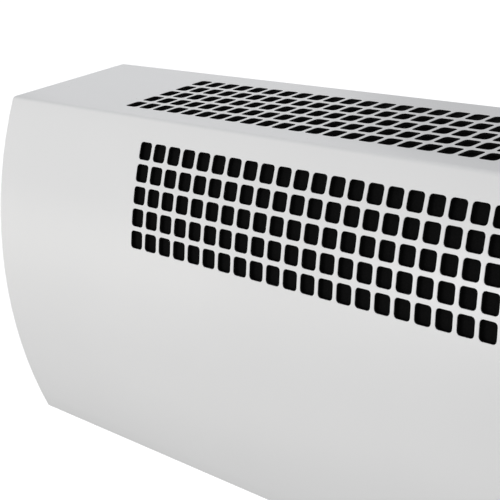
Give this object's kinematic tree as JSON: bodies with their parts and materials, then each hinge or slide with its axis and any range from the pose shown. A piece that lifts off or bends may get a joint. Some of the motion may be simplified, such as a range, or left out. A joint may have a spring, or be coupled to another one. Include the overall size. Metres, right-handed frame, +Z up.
{
  "type": "air curtain",
  "caption": "Over-door air curtain for a wall: perforated casing with a rolled front, cross-flow fan, finned heater and louvred outlet below.",
  "frame": {"origin": "middle of the four wall-fixing holes, on the wall plane", "axes": "+X along the casing, +Y into the wall, +Z up; the rolled front faces -Y"},
  "size_m": [0.896, 0.118, 0.2102],
  "materials": {
    "cover_paint": "white semi-matt powder coat on steel sheet",
    "zinc_plate": "zinc-plated steel sheet",
    "filter_black": "black filter mat in a plastic frame",
    "fan_aluminium": "plain aluminium blades and discs",
    "bright_steel": "ground steel",
    "motor_steel": "grey enamel on a drawn steel drum",
    "motor_aluminium": "die-cast aluminium",
    "lamination_steel": "stacked laminations",
    "winding_copper": "varnished copper winding",
    "guard_steel": "bright plated wire",
    "rubber": "moulded black rubber",
    "bronze": "sintered bronze",
    "brass": "plain brass",
    "capacitor_case": "drawn aluminium can",
    "element_steel": "finned stainless tube, dulled by heat",
    "ceramic": "unglazed ceramic",
    "black_plastic": "moulded black plastic",
    "rocker_plastic": "glossy black plastic",
    "white_plastic": "moulded off-white plastic",
    "vane_white": "white powder coat on aluminium"
  },
  "bodies": {
    "casing": {"front_cover": "cover_paint", "back_plate": "zinc_plate", "end_plate_left": "cover_paint", "end_plate_right": "cover_paint", "bottom_panel": "cover_paint", "top_filter": "filter_black", "front_filter": "filter_black", "cover_screws": "cover_paint", "chassis_rivets": "zinc_plate", "bulkhead_left": "zinc_plate", "bulkhead_right": "zinc_plate", "rear_guide": "zinc_plate", "vortex_tongue": "zinc_plate", "fan_bearing": "bronze", "bearing_rubber": "rubber", "bearing_cup": "zinc_plate", "motor_drum": "motor_steel", "motor_shields": "motor_aluminium", "motor_stator": "lamination_steel", "motor_winding": "winding_copper", "motor_bushes": "bronze", "motor_rings": "rubber", "motor_bracket": "zinc_plate", "run_capacitor": "capacitor_case", "capacitor_clip": "zinc_plate", "heater_element_1": "element_steel", "heater_element_2": "element_steel", "heater_element_3": "element_steel", "heater_bushes": "ceramic", "heater_links": "brass", "heater_hanger": "zinc_plate", "overheat_cutout": "black_plastic", "outlet_guard": "guard_steel", "louvre_bearings": "white_plastic", "switch_bodies": "black_plastic", "terminal_block": "white_plastic", "heater_relay": "black_plastic", "cable_grommet": "rubber", "cord_clamp": "zinc_plate", "earth_stud": "brass"},
    "fan": {"impeller": "fan_aluminium", "end_stub": "bright_steel", "drive_hub": "rubber", "hub_core": "bright_steel", "motor_rotor": "lamination_steel", "motor_shaft": "bright_steel"},
    "vane_1": {"louvre_vane_1": "vane_white"},
    "vane_2": {"louvre_vane_2": "vane_white"},
    "vane_3": {"louvre_vane_3": "vane_white"},
    "vane_link": {"louvre_link": "vane_white"},
    "fan_key": {"fan_rocker": "rocker_plastic"},
    "heat_key": {"heat_rocker": "rocker_plastic"}
  },
  "joints": [
    {"name": "fan_spin", "type": "hinge", "parent": "casing", "child": "fan", "pos_m": [0, -0.058, 0.015], "axis": [1, 0, 0], "continuous": true},
    {"name": "vane_1_tilt", "type": "hinge", "parent": "casing", "child": "vane_1", "pos_m": [0, -0.03974, -0.0925], "axis": [1, 0, 0], "range_deg": [-20, 20]},
    {"name": "vane_2_tilt", "type": "hinge", "parent": "casing", "child": "vane_2", "pos_m": [0, -0.05732, -0.0925], "axis": [1, 0, 0], "range_deg": [-20, 20]},
    {"name": "vane_3_tilt", "type": "hinge", "parent": "casing", "child": "vane_3", "pos_m": [0, -0.0749, -0.0925], "axis": [1, 0, 0], "range_deg": [-20, 20]},
    {"name": "link_swing", "type": "hinge", "parent": "vane_1", "child": "vane_link", "pos_m": [-0.342, -0.03974, -0.0855], "axis": [1, 0, 0], "range_deg": [-20, 20]},
    {"name": "fan_key_tilt", "type": "hinge", "parent": "casing", "child": "fan_key", "pos_m": [-0.417, -0.05732, -0.1], "axis": [1, 0, 0], "range_deg": [0, 16]},
    {"name": "heat_key_tilt", "type": "hinge", "parent": "casing", "child": "heat_key", "pos_m": [-0.383, -0.05732, -0.1], "axis": [1, 0, 0], "range_deg": [0, 16]}
  ],
  "couplings": [
    {"joint": "vane_2_tilt", "follows": "vane_1_tilt", "ratio": 1},
    {"joint": "vane_3_tilt", "follows": "vane_1_tilt", "ratio": 1},
    {"joint": "link_swing", "follows": "vane_1_tilt", "ratio": -1}
  ]
}
